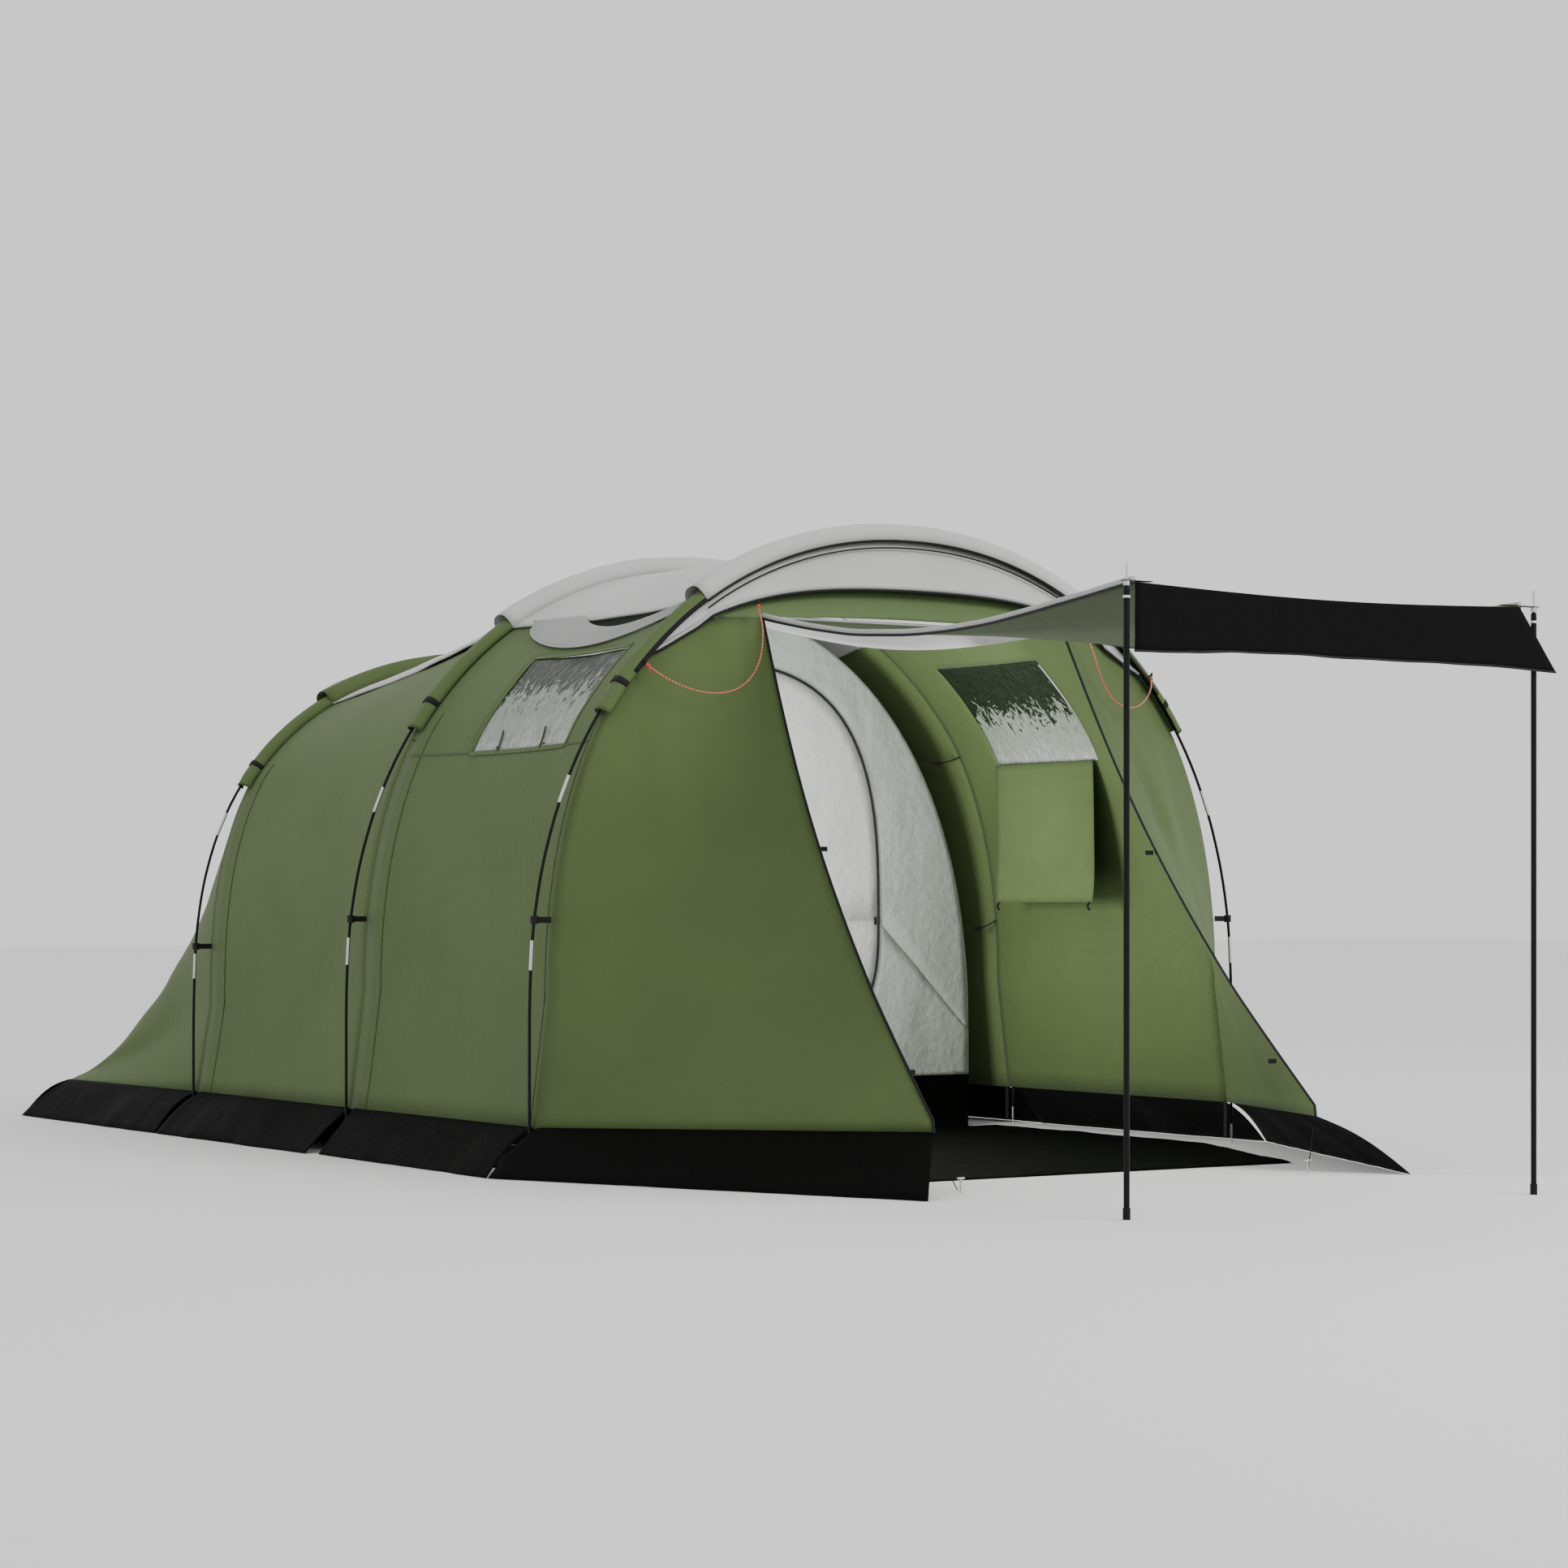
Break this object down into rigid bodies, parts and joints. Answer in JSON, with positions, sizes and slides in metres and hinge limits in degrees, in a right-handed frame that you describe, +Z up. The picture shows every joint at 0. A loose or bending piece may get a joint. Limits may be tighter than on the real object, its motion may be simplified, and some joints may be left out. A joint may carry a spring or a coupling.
{
  "type": "tunnel tent",
  "caption": "Four-person tunnel tent on three hooped poles, with a bedroom, side windows, mud skirts and a door panel propped up as an awning.",
  "frame": {"origin": "bottom centre of the whole tent, on the ground", "axes": "+X to the right seen from the door, +Y from the door to the rear, +Z up"},
  "size_m": [3.006, 5.856, 1.9893],
  "materials": {
    "pole": "satin pultruded glass fibre",
    "ferrule": "satin",
    "pin": "bright",
    "sleeve": "matt woven",
    "webbing": "matt webbing",
    "clip": "matt",
    "roof_fabric": "coated polyester",
    "fly_fabric": "coated polyester",
    "window_film": "clear film",
    "mesh": "fine mesh",
    "skirt": "coated woven",
    "prop": "satin black",
    "foot_rubber": "matt",
    "collar": "matt",
    "spike": "bright",
    "bedroom": "breathable polyester",
    "bedroom_door": "breathable polyester",
    "tray": "coated polyethylene",
    "shock_cord": "elastic cord",
    "guy_line": "twisted polyester cord"
  },
  "bodies": {
    "tent": {"bedroom_front": "bedroom", "bedroom_shell": "bedroom", "bedroom_tray": "tray", "corner_pegs": "spike", "corner_shock_cords": "shock_cord", "curtain_toggles": "clip", "door_header": "fly_fabric", "door_tie_tabs": "webbing", "front_bay_roof": "roof_fabric", "front_pole": "pole", "front_sleeve": "sleeve", "guy_tabs": "webbing", "left_front_bay_wall": "fly_fabric", "left_guy_line": "guy_line", "left_porch_skirt": "skirt", "left_porch_wall": "fly_fabric", "left_rear_bay_wall": "fly_fabric", "left_skirt": "skirt", "left_vent_mesh": "mesh", "left_window": "window_film", "middle_pole": "pole", "middle_sleeve": "sleeve", "pole_ferrules": "ferrule", "pole_pins": "pin", "pole_tabs": "webbing", "porch_groundsheet": "tray", "porch_hood": "roof_fabric", "rear_bay_roof": "roof_fabric", "rear_panel": "fly_fabric", "rear_pole": "pole", "rear_skirt": "skirt", "rear_sleeve": "sleeve", "right_front_bay_wall": "fly_fabric", "right_guy_line": "guy_line", "right_porch_skirt": "skirt", "right_porch_wall": "fly_fabric", "right_rear_bay_wall": "fly_fabric", "right_skirt": "skirt", "right_vent_mesh": "mesh", "right_window": "window_film", "sleeve_bands": "webbing", "strap_clips": "clip", "strap_webbing": "webbing"},
    "awning": {"awning_canopy": "fly_fabric", "awning_webbing": "webbing", "awning_eyelets": "spike", "prop_spikes": "spike"},
    "valance": {"awning_valance": "skirt"},
    "left_prop_leg": {"left_prop": "prop", "left_prop_foot": "foot_rubber", "left_prop_collar": "collar"},
    "right_prop_leg": {"right_prop": "prop", "right_prop_foot": "foot_rubber", "right_prop_collar": "collar"},
    "inner_door": {"bedroom_door": "bedroom_door", "bedroom_zip_slider": "clip"},
    "left_scoop": {"left_vent_scoop": "roof_fabric"},
    "right_scoop": {"right_vent_scoop": "roof_fabric"},
    "left_flap": {"left_curtain": "fly_fabric"},
    "right_flap": {"right_curtain": "fly_fabric"}
  },
  "joints": [
    {"name": "awning_fold", "type": "hinge", "parent": "tent", "child": "awning", "pos_m": [0, -0.904, 1.683], "axis": [1, 0, 0], "range_deg": [0, 46]},
    {"name": "valance_swing", "type": "hinge", "parent": "awning", "child": "valance", "pos_m": [0, -2.927, 1.6255], "axis": [-1, 0, 0], "range_deg": [0, 27.6]},
    {"name": "left_prop_fold", "type": "hinge", "parent": "awning", "child": "left_prop_leg", "pos_m": [-0.774, -2.915, 1.608], "axis": [0, 0.7071, -0.7071], "range_deg": [0, 179.4]},
    {"name": "right_prop_fold", "type": "hinge", "parent": "awning", "child": "right_prop_leg", "pos_m": [0.666, -2.915, 1.608], "axis": [0, -0.7071, 0.7071], "range_deg": [0, 179.4]},
    {"name": "inner_door_swing", "type": "hinge", "parent": "tent", "child": "inner_door", "pos_m": [-0.766, 0.424, 0.75], "axis": [0, 0, -1], "range_deg": [0, 80]},
    {"name": "left_scoop_tilt", "type": "hinge", "parent": "tent", "child": "left_scoop", "pos_m": [-0.83473, -0.3, 1.672], "axis": [0, 1, 0], "range_deg": [0, 12]},
    {"name": "right_scoop_tilt", "type": "hinge", "parent": "tent", "child": "right_scoop", "pos_m": [0.83473, -0.3, 1.672], "axis": [0, -1, 0], "range_deg": [0, 12]},
    {"name": "left_flap_lift", "type": "hinge", "parent": "tent", "child": "left_flap", "pos_m": [-1.09794, -0.335, 1.306], "axis": [0, -1, 0], "range_deg": [0, 130]},
    {"name": "right_flap_lift", "type": "hinge", "parent": "tent", "child": "right_flap", "pos_m": [1.09794, -0.115, 1.306], "axis": [0, 1, 0], "range_deg": [0, 130]}
  ],
  "couplings": [
    {"joint": "valance_swing", "follows": "awning_fold", "ratio": 0.6},
    {"joint": "left_prop_fold", "follows": "awning_fold", "ratio": 3.9},
    {"joint": "right_prop_fold", "follows": "awning_fold", "ratio": 3.9}
  ]
}
